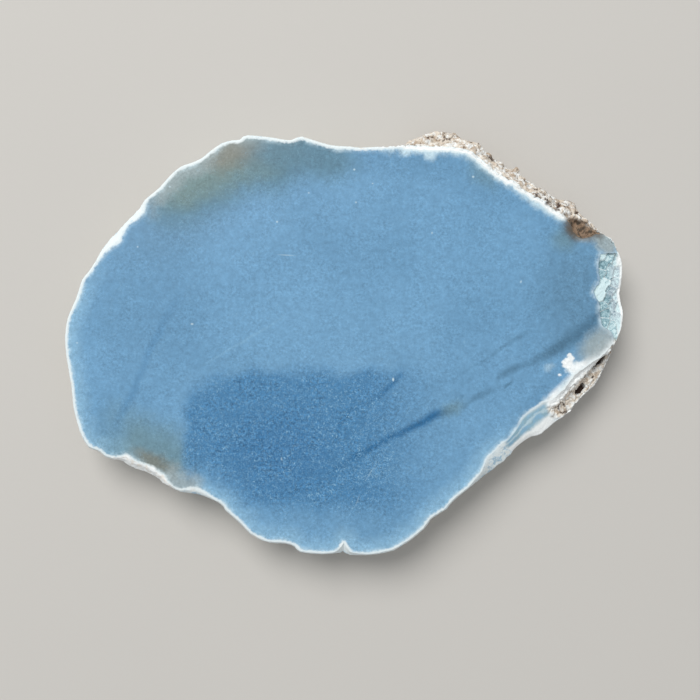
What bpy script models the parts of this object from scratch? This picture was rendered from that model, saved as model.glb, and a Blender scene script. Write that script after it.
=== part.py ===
"""Polished angelite slab: a slice of a pale blue nodule with one flat polished face.

Units are metres in the scene; the outline below is written in millimetres.
+Z is up, +X runs along the slab's length, and the origin is at the middle of its flat back.
"""

import math
from collections import namedtuple

import bmesh
import bpy
from mathutils import Vector, noise

MM = 0.001

# The slab's driving sizes, in millimetres
THICKNESS = 9.0
EDGE_WIDTH = 0.45
FOOT_CHAMFER = 0.45
LEAST_UNDERCUT = 0.4

# How finely the slab is faceted: millimetres between stations round the rim, and one ring for
# each share of the way from the face's edge to the rim and from the rim to the chamfer below
STATION_SPACING = 0.76
SHELF_RINGS = (0.0, 0.14, 0.32, 0.52, 0.72, 0.88, 1.0)
WALL_RINGS = (0.16, 0.4, 0.66, 0.88, 1.0)

# Lumps and knobs of the natural skin, in millimetres
LUMP_SIZE = 5.0
LUMP_DEPTH = 1.8
KNOB_SIZE = 2.0
KNOB_DEPTH = 0.8
SHELF_LUMP_SIZE = 3.1
SKIN_FLATTENING = 1.6
PLAIN_SKIN_KNOBS = 0.4

# Shapes of the ways down: where a hollow along the shelf ends, how soon the wall leaves the
# small bends of the rim, how it curves in under the rim, and how soon its lumps are full
HOLLOW_END = 0.85
BEND_FADING = 0.45
UNDERCUT_CURVE = 1.2
LUMPS_FULL = 0.5
WIDE_SHELF = 2.0

# Neighbours on each side that are averaged, for the rim's run and for a stretch's values
RIM_SMOOTHING = 9
STRETCH_BLENDING = 3
SHARP_ANGLE = math.radians(35)

# The rim is given as stretches, counter-clockwise from the far left. A row is the rim's x and y.
# Where the polished face ends well inside the rim, the row goes on with the face edge's x and y.
LEFT_SIDE = [
    (-50.4, 0.6), (-50.2, -2.1), (-49.8, -4.6), (-49.2, -8.4), (-48.8, -12.0), (-47.7, -16.0),
    (-46.7, -18.0), (-46.1, -18.8), (-44.0, -19.7), (-43.1, -20.5), (-41.9, -20.9),
]
LOWER_LEFT_CRUST = [
    (-40.7, -21.1, -40.2, -20.4), (-39.9, -21.4, -39.1, -20.1), (-39.3, -21.9, -38.2, -20.8),
    (-38.4, -22.4, -37.4, -21.3), (-35.6, -23.4, -34.8, -22.2), (-34.3, -24.1, -33.4, -23.0),
    (-33.4, -24.6, -32.4, -23.8), (-32.8, -25.3, -31.9, -24.8),
]
BOTTOM_LEFT = [
    (-31.4, -25.9), (-30.4, -26.5), (-29.6, -26.8), (-28.0, -27.0, -27.7, -26.1),
    (-26.6, -27.2, -26.3, -26.1), (-25.5, -27.5, -25.1, -26.8), (-23.6, -28.3), (-22.5, -28.9),
    (-21.8, -29.5), (-21.5, -30.1), (-20.5, -31.0), (-18.6, -32.7), (-17.0, -34.4), (-16.1, -35.0),
    (-15.1, -35.5), (-13.4, -36.0), (-10.5, -36.2), (-9.0, -36.7), (-8.4, -37.4), (-7.9, -37.7),
    (-6.9, -37.9), (-4.0, -38.1), (-1.7, -38.0),
]
BOTTOM_CHIP = [
    (-1.2, -37.9, -1.1, -37.2), (-0.6, -37.9, -0.5, -36.6), (-0.2, -37.6, 0.0, -35.8),
    (0.3, -38.0, 0.5, -36.6), (1.1, -38.3, 1.1, -37.5),
]
BOTTOM_RIGHT = [
    (3.8, -38.3), (6.5, -38.0), (9.0, -37.4), (9.9, -36.9), (12.1, -35.5), (13.7, -34.2),
    (14.5, -33.5), (15.1, -32.7), (15.7, -31.8), (17.5, -30.6), (18.6, -29.9), (19.2, -29.1),
    (20.2, -28.1), (21.3, -27.2), (22.8, -26.0),
]
GLASSY_BEVEL = [
    (24.7, -24.5, 23.9, -24.0), (25.6, -23.8, 24.8, -23.0), (26.4, -23.3, 25.2, -22.1),
    (27.1, -22.8, 25.5, -21.3), (28.0, -22.0, 25.9, -20.5), (29.0, -21.4, 26.6, -19.9),
    (29.5, -20.7, 27.4, -19.1), (30.2, -20.2, 27.9, -18.5), (30.7, -19.4, 28.6, -17.9),
    (31.4, -18.7, 29.5, -17.4), (32.1, -18.1, 30.1, -16.7), (33.0, -17.5, 30.8, -15.8),
    (34.0, -16.9, 31.3, -15.0), (35.0, -16.7, 31.7, -14.3), (35.8, -16.4, 32.2, -13.4),
    (36.5, -15.8, 32.9, -12.7), (37.4, -15.0, 33.8, -12.0), (38.4, -14.2, 34.9, -11.3),
    (39.2, -13.7, 35.8, -10.6), (40.2, -13.1, 36.8, -10.4),
]
BROKEN_LEDGE = [
    (41.3, -12.4, 37.6, -10.1), (41.9, -11.5, 38.3, -9.5), (42.5, -10.7, 39.1, -8.7),
    (43.3, -10.0, 39.8, -8.2), (44.1, -9.2, 40.3, -7.3), (44.9, -8.5, 40.9, -6.5),
    (45.8, -7.7, 41.6, -5.7), (46.4, -6.8, 42.5, -5.0), (46.9, -5.7, 43.6, -4.2),
    (47.5, -4.7, 44.5, -3.6), (48.0, -3.6, 45.4, -3.0), (48.4, -2.5, 46.4, -2.3),
    (48.7, -1.6, 47.3, -1.5),
]
RIGHT_LIP = [
    (48.7, -0.8, 47.9, -0.7), (49.2, -0.1, 48.3, 0.0), (49.5, 1.0, 48.5, 1.1),
]
FRACTURE_PLATES = [
    (50.0, 2.1, 48.1, 2.2), (50.4, 3.3, 46.7, 3.0), (50.5, 4.6, 46.2, 4.4), (50.5, 6.1, 46.0, 6.0),
    (50.2, 7.1, 46.0, 7.3), (50.0, 8.1, 45.3, 8.3), (49.9, 9.1, 45.0, 9.3),
    (50.1, 10.2, 45.5, 10.3), (50.3, 11.5, 46.1, 11.4), (50.4, 12.9, 45.8, 13.0),
    (50.4, 14.1, 45.9, 14.5), (50.2, 15.2, 46.2, 16.1), (50.0, 15.8, 47.7, 16.3),
]
RIGHT_SHOULDER = [
    (49.6, 16.5), (48.8, 18.0), (48.1, 18.9), (47.4, 19.6), (46.6, 20.1),
]
RUST_POCKET = [
    (46.2, 20.4, 45.4, 19.7), (45.6, 21.3, 44.3, 19.2), (45.0, 22.1, 43.1, 18.9),
    (44.1, 22.9, 41.9, 19.4), (43.3, 23.7, 41.1, 20.4), (42.8, 24.5, 40.8, 21.5),
]
SANDY_CRUST = [
    (42.5, 25.5, 40.0, 22.2), (41.6, 26.4, 39.1, 22.6), (39.7, 26.6, 38.3, 23.0),
    (38.5, 26.9, 37.1, 23.8), (37.5, 28.1, 36.2, 24.7), (36.1, 28.6, 35.1, 25.5),
    (35.1, 29.5, 34.0, 25.9), (33.9, 30.0, 33.0, 26.8), (33.3, 30.4, 31.8, 27.4),
    (32.3, 31.2, 29.9, 28.4), (31.9, 32.4, 29.0, 29.1), (30.8, 32.2, 28.1, 29.7),
    (29.7, 32.6, 27.2, 30.3), (29.4, 33.3, 26.3, 31.0), (28.0, 33.8, 25.2, 31.9),
    (27.2, 34.6, 24.3, 32.7), (26.0, 35.3, 23.6, 33.3), (25.3, 36.6, 22.7, 34.0),
    (24.3, 37.2, 21.8, 34.3), (23.2, 37.4, 20.9, 34.5), (21.8, 37.8, 19.8, 34.7),
    (21.0, 38.4, 18.9, 34.8), (20.5, 39.0, 18.0, 34.8), (19.1, 39.0, 16.9, 34.8),
    (17.7, 39.1, 15.8, 34.8), (16.5, 39.1, 14.9, 34.9), (15.0, 38.7, 13.9, 34.9),
    (12.4, 37.4, 11.7, 35.0),
]
TOP_EDGE = [
    (11.1, 36.1, 10.9, 35.2), (9.9, 35.8), (5.1, 35.5), (2.5, 35.4), (1.1, 35.6), (-2.1, 35.8),
    (-4.7, 36.5), (-6.9, 37.2), (-7.6, 37.4), (-8.5, 37.2), (-9.4, 36.8), (-10.7, 36.8),
    (-12.9, 37.2), (-15.4, 37.5), (-17.5, 37.6), (-18.2, 37.4), (-18.8, 36.8), (-20.2, 36.7),
    (-22.0, 36.2), (-23.6, 35.2), (-24.9, 34.1), (-26.0, 33.3), (-27.7, 32.6), (-29.4, 32.0),
    (-30.8, 30.9), (-31.9, 29.8), (-33.2, 28.3), (-34.6, 27.1), (-36.0, 25.9),
]
UPPER_LEFT_BRUISES = [
    (-36.9, 24.5, -36.1, 23.7), (-37.6, 23.8, -36.8, 23.1), (-38.2, 23.1, -37.5, 22.2),
    (-38.9, 22.5, -38.4, 21.9), (-39.6, 21.7, -39.1, 21.2), (-40.7, 20.5, -40.1, 19.4),
    (-41.5, 19.7, -40.4, 18.5), (-42.3, 18.9, -41.2, 17.9), (-43.1, 17.9, -42.2, 17.3),
    (-43.8, 16.9, -43.0, 16.5),
]
UPPER_LEFT_SIDE = [
    (-44.8, 15.1), (-45.9, 13.3), (-47.3, 11.5), (-47.8, 10.0), (-48.5, 7.9), (-49.3, 6.2),
    (-50.0, 4.2), (-50.3, 2.3),
]

# A stretch has its points, how far the rim lies below the face, how the way down bows (above 1
# swells like a pillow, 1 is a flat bevel, below 1 is a step with a shelf), how far the foot is
# drawn in under the rim, how deep the shelf is hollowed, and how strong its knobs are.
Stretch = namedtuple("Stretch", "points drop bow undercut hollow knobs")

STRETCHES = [
    Stretch(LEFT_SIDE, drop=0.7, bow=2.2, undercut=2.0, hollow=0.0, knobs=0.15),
    Stretch(LOWER_LEFT_CRUST, drop=1.3, bow=1.5, undercut=1.7, hollow=0.0, knobs=0.5),
    Stretch(BOTTOM_LEFT, drop=0.7, bow=2.2, undercut=2.1, hollow=0.0, knobs=0.2),
    Stretch(BOTTOM_CHIP, drop=1.2, bow=1.0, undercut=2.2, hollow=0.0, knobs=0.2),
    Stretch(BOTTOM_RIGHT, drop=0.7, bow=2.2, undercut=2.3, hollow=0.0, knobs=0.2),
    Stretch(GLASSY_BEVEL, drop=1.5, bow=1.15, undercut=1.8, hollow=0.0, knobs=0.0),
    Stretch(BROKEN_LEDGE, drop=2.6, bow=0.62, undercut=1.9, hollow=0.0, knobs=0.9),
    Stretch(RIGHT_LIP, drop=0.9, bow=1.4, undercut=2.0, hollow=0.0, knobs=0.2),
    Stretch(FRACTURE_PLATES, drop=1.1, bow=1.0, undercut=2.2, hollow=0.0, knobs=0.2),
    Stretch(RIGHT_SHOULDER, drop=0.7, bow=2.2, undercut=2.3, hollow=0.0, knobs=0.2),
    Stretch(RUST_POCKET, drop=2.2, bow=1.0, undercut=2.2, hollow=1.5, knobs=0.5),
    Stretch(SANDY_CRUST, drop=4.4, bow=1.6, undercut=1.2, hollow=0.0, knobs=1.0),
    Stretch(TOP_EDGE, drop=0.7, bow=2.2, undercut=2.8, hollow=0.0, knobs=0.3),
    Stretch(UPPER_LEFT_BRUISES, drop=0.9, bow=1.6, undercut=2.6, hollow=0.0, knobs=0.3),
    Stretch(UPPER_LEFT_SIDE, drop=0.7, bow=2.2, undercut=2.3, hollow=0.0, knobs=0.2),
]

# A station is one place on the rim, with its stretch's values
Station = namedtuple("Station", "rim face_edge drop bow undercut hollow knobs")

# Cleavage plates at the right: the middle of each plate, and how far it lies below the face
CLEAVAGE_PLATES = [
    (46.9, 15.6, 0.35), (48.0, 13.4, 0.8), (46.4, 9.6, 0.4), (49.0, 10.6, 1.0),
    (47.3, 6.2, 0.85), (49.2, 6.8, 1.3), (48.2, 3.2, 0.75),
]
PLATES_LOW_Y = 1.4
PLATES_HIGH_Y = 16.4
PLATES_LEFT_X = 44.6

# Pits in the broken ledge: both ends, half width and depth
LEDGE_PITS = [
    ((47.0, -2.6), (45.3, -4.4), 0.55, 1.3),
    ((44.7, -5.4), (44.0, -6.2), 0.5, 0.8),
    ((43.9, -7.6), (42.7, -9.0), 0.5, 1.3),
]

# Angelite's look, for the model's own views
ANGELITE_BLUE = (0.17, 0.36, 0.55, 1.0)
ANGELITE_ROUGHNESS = 0.25


def catmull_rom(before, start, end, after, share):
    """The point on the smooth curve through these four that lies share of the way from start to end."""
    bend = 2 * before - 5 * start + 4 * end - after
    twist = 3 * start - before - 3 * end + after
    return 0.5 * (2 * start + (end - before) * share + bend * share ** 2 + twist * share ** 3)


def inward_direction(behind, ahead):
    """The horizontal direction into the slab, where the rim runs from behind to ahead."""
    along = (ahead - behind).normalized()
    return Vector((-along.y, along.x))


def averaged(items, reach):
    """The vectors, each averaged with its neighbours up to reach places away on the closed rim."""
    count = len(items)
    steps = range(-reach, reach + 1)
    totals = [sum((items[(index + step) % count] for step in steps), items[0] * 0.0)
              for index in range(count)]
    return [total / len(steps) for total in totals]


def outline_stations():
    """One station for each point of the outline, with a narrow rounded edge where none is given."""
    rows = [(point, stretch) for stretch in STRETCHES for point in stretch.points]
    stations = []
    for index, (point, stretch) in enumerate(rows):
        rim = Vector(point[:2])
        behind = Vector(rows[index - 1][0][:2])
        ahead = Vector(rows[(index + 1) % len(rows)][0][:2])
        face_edge = rim + inward_direction(behind, ahead) * EDGE_WIDTH
        if len(point) == 4:
            face_edge = Vector(point[2:])
        stations.append(Station(rim, face_edge, *stretch[1:]))
    return stations


def fine_stations():
    """The outline's stations and those between them, on a smooth curve, with the values blended."""
    coarse = outline_stations()
    stations = []
    for index, start in enumerate(coarse):
        before = coarse[index - 1]
        end = coarse[(index + 1) % len(coarse)]
        after = coarse[(index + 2) % len(coarse)]
        pieces = max(1, round((end.rim - start.rim).length / STATION_SPACING))
        for piece in range(pieces):
            share = piece / pieces
            rim = catmull_rom(before.rim, start.rim, end.rim, after.rim, share)
            edge = catmull_rom(before.face_edge, start.face_edge, end.face_edge, after.face_edge, share)
            stations.append(Station(rim, edge, *start[2:]))
    values = averaged([Vector(station[2:]) for station in stations], STRETCH_BLENDING)
    return [Station(station.rim, station.face_edge, *value) for station, value in zip(stations, values)]


def plate_drop(place):
    """How far the cleavage plate nearest to this place lies below the polished face."""
    nearest = min(CLEAVAGE_PLATES, key=lambda plate: (Vector(plate[:2]) - place).length)
    return nearest[2]


def pit_depth(place):
    """How deep the broken ledge is pitted at this place."""
    depth = 0.0
    for start, end, half_width, deepest in LEDGE_PITS:
        along = Vector(end) - Vector(start)
        offset = place - Vector(start)
        share = max(0.0, min(1.0, offset.dot(along) / along.length_squared))
        away = (offset - along * share).length / half_width
        depth = max(depth, deepest * math.exp(-away * away))
    return depth


def on_plates(place):
    """Whether this place is among the cleavage plates."""
    return PLATES_LOW_Y < place.y < PLATES_HIGH_Y and place.x > PLATES_LEFT_X


def shelf_point(station, share):
    """A point between the polished face's edge (share 0) and the rim (share 1)."""
    place = station.face_edge.lerp(station.rim, share)
    down = station.drop * share ** station.bow
    if 0.0 < share < 1.0 and on_plates(place):
        down = plate_drop(place)
    if share < HOLLOW_END:
        down += station.hollow * math.sin(math.pi * share / HOLLOW_END)
    width = (station.rim - station.face_edge).length
    middle = math.sin(math.pi * share) * min(1.0, width / WIDE_SHELF)
    spot = place.to_3d()
    bumps = noise.noise(spot / KNOB_SIZE) + noise.noise(spot / SHELF_LUMP_SIZE)
    down += (KNOB_DEPTH * station.knobs * bumps + pit_depth(place)) * middle
    return Vector((place.x, place.y, THICKNESS - max(0.0, down)))


def wall_point(station, even_rim, inward, share):
    """A point on the natural skin between the rim (share 0) and the chamfer below (share 1)."""
    rim_height = THICKNESS - station.drop
    height = rim_height + (FOOT_CHAMFER - rim_height) * share
    place = station.rim.lerp(even_rim, share ** BEND_FADING)
    spot = Vector((place.x, place.y, height * SKIN_FLATTENING))
    knob_depth = KNOB_DEPTH * (PLAIN_SKIN_KNOBS + (1.0 - PLAIN_SKIN_KNOBS) * station.knobs)
    lumps = LUMP_DEPTH * noise.noise(spot / LUMP_SIZE) + knob_depth * noise.noise(spot / KNOB_SIZE)
    pull = station.undercut * share ** UNDERCUT_CURVE + lumps * min(1.0, share / LUMPS_FULL)
    place += inward * pull
    too_far_out = LEAST_UNDERCUT * share - (place - station.rim).dot(inward)
    place += inward * max(0.0, too_far_out)
    return Vector((place.x, place.y, height))


def slab_columns():
    """For each station, its points from the polished face's edge down to the back."""
    stations = fine_stations()
    even_rims = averaged([station.rim for station in stations], RIM_SMOOTHING)
    columns = []
    for index, station in enumerate(stations):
        inward = inward_direction(even_rims[index - 1], even_rims[(index + 1) % len(even_rims)])
        column = [shelf_point(station, share) for share in SHELF_RINGS]
        column += [wall_point(station, even_rims[index], inward, share) for share in WALL_RINGS]
        foot = column[-1].to_2d() + inward * FOOT_CHAMFER
        column.append(foot.to_3d())
        columns.append(column)
    return columns


def add_band(bm, columns):
    """A grid bent round through the columns, with its two ends merged into a closed band."""
    around = len(columns)
    down = len(columns[0]) - 1
    bmesh.ops.create_grid(bm, x_segments=around, y_segments=down, size=0.5)
    for vert in bm.verts:
        column = round((vert.co.x + 0.5) * around) % around
        ring = round((0.5 - vert.co.y) * down)
        vert.co = columns[column][ring] * MM
    bmesh.ops.remove_doubles(bm, verts=bm.verts, dist=1e-7)


def centre_on_origin(bm):
    """Moves the slab so that the middle of its outer box stands over the origin."""
    xs = [vert.co.x for vert in bm.verts]
    ys = [vert.co.y for vert in bm.verts]
    middle = Vector((min(xs) + max(xs), min(ys) + max(ys), 0.0)) / 2
    bmesh.ops.translate(bm, verts=bm.verts, vec=-middle)


def angelite_material():
    """The slab's one plain material: pale blue, polished."""
    material = bpy.data.materials.new("angelite")
    material.use_nodes = True
    shader = material.node_tree.nodes["Principled BSDF"]
    shader.inputs["Base Color"].default_value = ANGELITE_BLUE
    shader.inputs["Roughness"].default_value = ANGELITE_ROUGHNESS
    shader.inputs["Metallic"].default_value = 0.0
    return material


def build_slab(collection):
    """The whole slab as one closed solid, with its two flat faces filled in."""
    bm = bmesh.new()
    add_band(bm, slab_columns())
    open_edges = [edge for edge in bm.edges if edge.is_boundary]
    flat_faces = bmesh.ops.holes_fill(bm, edges=open_edges, sides=0)["faces"]
    bmesh.ops.recalc_face_normals(bm, faces=bm.faces)
    for face in bm.faces:
        face.smooth = face not in flat_faces
    centre_on_origin(bm)
    mesh = bpy.data.meshes.new("angelite_slab")
    bm.to_mesh(mesh)
    bm.free()
    mesh.set_sharp_from_angle(angle=SHARP_ANGLE)
    mesh.materials.append(angelite_material())
    collection.objects.link(bpy.data.objects.new("angelite_slab", mesh))


def main():
    for old in list(bpy.data.objects):
        bpy.data.objects.remove(old, do_unlink=True)
    collection = bpy.data.collections.new("polished_angelite")
    bpy.context.scene.collection.children.link(collection)
    build_slab(collection)


main()
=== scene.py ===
"""Polished angelite slab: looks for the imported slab, on a plain studio floor.

The slab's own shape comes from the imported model. This file gives its skin finer relief and gives
the polished face, the natural rind and the sawn back their stone finishes.
Places and sizes are written in millimetres, and the finished mesh is in metres.
"""

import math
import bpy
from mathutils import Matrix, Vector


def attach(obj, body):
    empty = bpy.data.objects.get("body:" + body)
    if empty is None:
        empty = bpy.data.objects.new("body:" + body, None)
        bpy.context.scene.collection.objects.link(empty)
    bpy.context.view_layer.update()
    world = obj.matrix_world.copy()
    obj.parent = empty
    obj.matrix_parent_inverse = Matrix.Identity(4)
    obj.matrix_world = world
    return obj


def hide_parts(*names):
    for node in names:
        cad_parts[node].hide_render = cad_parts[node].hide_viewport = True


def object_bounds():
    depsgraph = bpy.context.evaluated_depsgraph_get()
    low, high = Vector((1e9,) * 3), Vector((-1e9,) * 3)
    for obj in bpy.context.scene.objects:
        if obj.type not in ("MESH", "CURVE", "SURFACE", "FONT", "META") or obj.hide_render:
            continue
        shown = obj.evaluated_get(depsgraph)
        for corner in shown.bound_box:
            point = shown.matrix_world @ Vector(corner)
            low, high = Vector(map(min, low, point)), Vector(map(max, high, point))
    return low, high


bl_info = {
    "name": "Polished Angelite Slab",
    "version": (1, 0, 0),
    "blender": (4, 5, 0),
    "location": "View3D > Sidebar > Angelite",
    "description": "A polished slab of pale blue angelite with a natural rind, on a studio floor",
    "category": "Object",
}

import bmesh
import bpy
import numpy as np
from bpy.props import FloatProperty, FloatVectorProperty, PointerProperty
from mathutils import Matrix, Vector, noise
from mathutils.kdtree import KDTree

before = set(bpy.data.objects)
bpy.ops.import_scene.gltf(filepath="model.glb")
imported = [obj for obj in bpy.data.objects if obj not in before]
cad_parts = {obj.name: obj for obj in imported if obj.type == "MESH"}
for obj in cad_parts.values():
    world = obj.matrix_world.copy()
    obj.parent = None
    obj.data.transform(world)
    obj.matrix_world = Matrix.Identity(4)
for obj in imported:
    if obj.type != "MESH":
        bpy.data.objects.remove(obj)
CAD_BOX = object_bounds()

SLAB_NODE = "angelite_slab"
MM = 0.001

# Tolerances and small gaps in millimetres: points this near are one, how far the skin stays under
# the polished face, and how far the floor lies under the slab
TOUCH = 0.001
FACE_CLEARANCE = 0.004
FLOOR_GAP = 0.02

# The slab's skin runs in rings from the polished face's edge, ring 0, over the rim to the back
RIM_RING = 6.0
FOOT_RING = 12.0

# How the skin is split: the rounds, how many times too long an edge has to be, and the zones that
# get the finest facets
REFINING_ROUNDS = 3
SPLIT_FROM = 1.35
FINE_ZONES = ("crust", "plates", "ledge", "rust")

# The flat faces' grids: how many spacings they stay clear of the edge, where the later ones stand
# in if an earlier one leaves the stone open, and how much coarser the sawn back's grid is
GRID_CLEARANCES = (1.3, 1.5, 1.8, 2.2)
SAWN_COARSER = 3

# The broken and natural parts of the rim: how far from its line each is full and where it ends,
# and the line
ZONES = {
    "crust": ((3.2, 4.6), [
        (10.5, 36.0), (15.0, 37.2), (21.5, 37.2), (26.5, 34.3), (31.5, 30.6), (36.0, 26.6),
        (40.5, 24.6), (44.0, 22.2), (46.4, 20.6),
    ]),
    "rust": ((1.7, 2.9), [(41.4, 20.3), (42.6, 20.2), (44.6, 19.7)]),
    "plates": ((2.6, 3.6), [(48.0, 16.0), (48.0, 12.0), (47.5, 8.0), (48.2, 4.0), (49.2, 1.6)]),
    "ledge": ((2.4, 3.6), [
        (47.6, -2.4), (46.0, -4.6), (43.8, -7.4), (41.4, -9.8), (39.4, -11.4),
    ]),
    "bevel": ((2.0, 3.0), [(37.6, -13.2), (34.0, -15.4), (31.6, -17.8)]),
    "bruise": ((1.2, 2.4), [(-36.4, 23.8), (-38.8, 21.4), (-41.2, 18.8), (-43.2, 16.4)]),
    "lower_crust": ((1.2, 2.4), [(-40.2, -21.0), (-37.2, -22.4), (-34.0, -24.2), (-32.4, -25.4)]),
}

# How far the zones' ends wander on the side walls, the size of the bends, and the two places in
# the noise that they come from
WALL_FRAY = 5.0
WALL_BENDS = 1.8
BEND_OFFSETS = (Vector((9.3, -1.5, -8.0)), Vector((6.3, 0.2, -2.7)))

# How deep the fine chips are in each zone: in the polished face's edge, over the rim and in the
# rim's outer line
EDGE_CHIPS = {
    "plain": 0.035, "bruise": 0.1, "lower_crust": 0.1, "crust": 0.1, "ledge": 0.16, "plates": 0.12,
}
RIM_SCUFFS = {"plain": 0.04, "bruise": 0.08, "lower_crust": 0.08}
OUTER_CHIPS = {
    "plain": 0.03, "bruise": 0.05, "lower_crust": 0.05, "crust": 0.22, "ledge": 0.12,
    "plates": 0.12,
}

# The sandy grains and the walls' lumps: size, octaves and height
SAND_GRAINS = [(1.4, 2, 0.36), (0.42, 2, 0.16)]
WALL_LUMPS = [(1.7, 3, 0.24), (0.7, 2, 0.1)]

# The lumps between the crevices of the crust, the ledge and the walls under them
CRUST_LUMP = 1.7
LEDGE_LUMP = 1.4
WALL_LUMP = 1.3
CREVICE_DEPTH = 0.3
WALL_CREVICE_DEPTH = 0.2
LEDGE_LIP = 0.35

# The plates of the fractured end: middle, depth under the polished face, and paleness; then how
# much two neighbours differ in depth to have a crack between them, and the crack's width
FRACTURE_PLATES = [
    (46.4, 15.6, 0.15, 0.9), (47.9, 15.0, 0.45, 0.6), (49.3, 14.6, 0.95, 0.75),
    (46.9, 13.6, 0.55, 0.35), (48.1, 13.0, 0.75, 0.5), (49.5, 12.6, 1.1, 0.65),
    (46.5, 12.2, 0.4, 0.45), (47.6, 11.5, 0.65, 0.4), (46.6, 10.2, 0.25, 1.0),
    (45.6, 9.0, 0.2, 1.0), (46.3, 8.1, 0.25, 1.0), (47.3, 10.9, 0.35, 0.95),
    (49.0, 10.6, 0.95, 0.6), (48.3, 9.2, 0.8, 0.45), (49.4, 8.4, 1.2, 0.7),
    (47.6, 7.6, 0.75, 0.3), (46.7, 6.4, 0.5, 0.35), (48.6, 6.6, 1.05, 0.45),
    (49.9, 6.2, 1.3, 0.85), (47.3, 5.0, 0.7, 0.3), (48.9, 4.6, 1.0, 0.55), (47.2, 3.4, 0.5, 0.4),
    (48.5, 2.9, 0.7, 0.65), (49.7, 3.2, 1.0, 0.9),
]
CRACK_FROM = 0.12
CRACK_WIDTH = 0.32

# Deep pits in the ledge: middle, radii, turn in degrees and depth
PITS = [
    ((46.3, -3.7), (0.5, 1.9), -39.0, 0.9), ((43.9, -6.2), (0.9, 0.35), 25.0, 0.5),
    ((45.3, -6.5), (0.4, 0.4), 0.0, 0.5), ((43.0, -8.8), (0.45, 1.4), -42.0, 0.8),
]

# Broad clouds in the polished face: middle, radii, turn, share of the radii that is full, strength
# and colour
CLOUDS = [
    ((-34.0, 6.0), (15.0, 18.0), 0.0, 0.1, 0.7, "slate_blue"),
    ((-2.0, 2.0), (26.0, 16.0), 0.0, 0.1, 0.3, "light_blue"),
    ((42.0, 9.0), (12.0, 16.0), 0.0, 0.1, 0.8, "grey_blue"),
    ((8.0, 33.0), (14.0, 5.0), 0.0, 0.1, 0.7, "slate_blue"),
    ((22.0, 30.0), (26.0, 6.0), -24.0, 0.1, 0.5, "slate_blue"),
    ((-38.5, -8.0), (5.0, 13.0), 15.0, 0.1, 0.3, "slate_blue"),
    ((-28.5, 22.0), (15.0, 8.0), 30.0, 0.3, 0.55, "grey_blue"),
]

# Stains that spread inwards from the edge: as above, then how far from the edge the stain fades out
# and how far it is full
EDGE_STAINS = [
    ((-21.0, 31.0), (20.0, 11.5), 24.0, 0.5, 1.0, "teal_grey", 13.5, 5.0),
    ((-21.0, 32.0), (16.5, 8.0), 24.0, 0.6, 1.0, "green_grey", 10.0, 3.5),
    ((25.0, 30.0), (6.0, 4.0), -42.0, 0.2, 0.4, "green_grey", 6.0, 1.0),
    ((-24.0, 30.5), (15.0, 8.0), 34.0, 0.6, 0.75, "pale_grey", 3.6, 0.8),
    ((-19.5, 33.0), (7.0, 4.6), 15.0, 0.3, 0.8, "tan_grey", 6.5, 2.0),
    ((-8.0, 32.5), (13.0, 9.0), -5.0, 0.4, 0.9, "teal", 9.0, 3.0),
    ((-35.0, -18.0), (12.0, 10.0), -28.0, 0.5, 0.35, "green_grey", 11.0, 6.0),
    ((-33.0, -19.0), (9.5, 8.0), -28.0, 0.4, 0.5, "green_grey", 9.0, 3.5),
    ((-33.5, -22.5), (6.5, 4.0), -28.0, 0.4, 0.8, "tan_grey", 4.2, 1.0),
    ((-29.0, -25.0), (5.0, 4.0), -28.0, 0.4, 0.9, "pale_grey", 4.5, 1.2),
]

# The deep blue zone, its darkest part and a swirl of flecks in it: middle, radii, turn and share
# of the radii that is full. The zone and its darkest part are painted shade: a deeper blue where
# the face reflects no sheen
PAINTED_SHADE_ZONE = ((-2.0, -22.5), (37.0, 22.0), 0.0, 0.82)
DARKEST_PAINTED_SHADE = ((-11.5, -20.0), (15.0, 11.0), 0.0, 0.1)
FLECK_SWIRL = ((7.0, -22.8), (7.0, 5.5), 20.0, 0.1)

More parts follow.
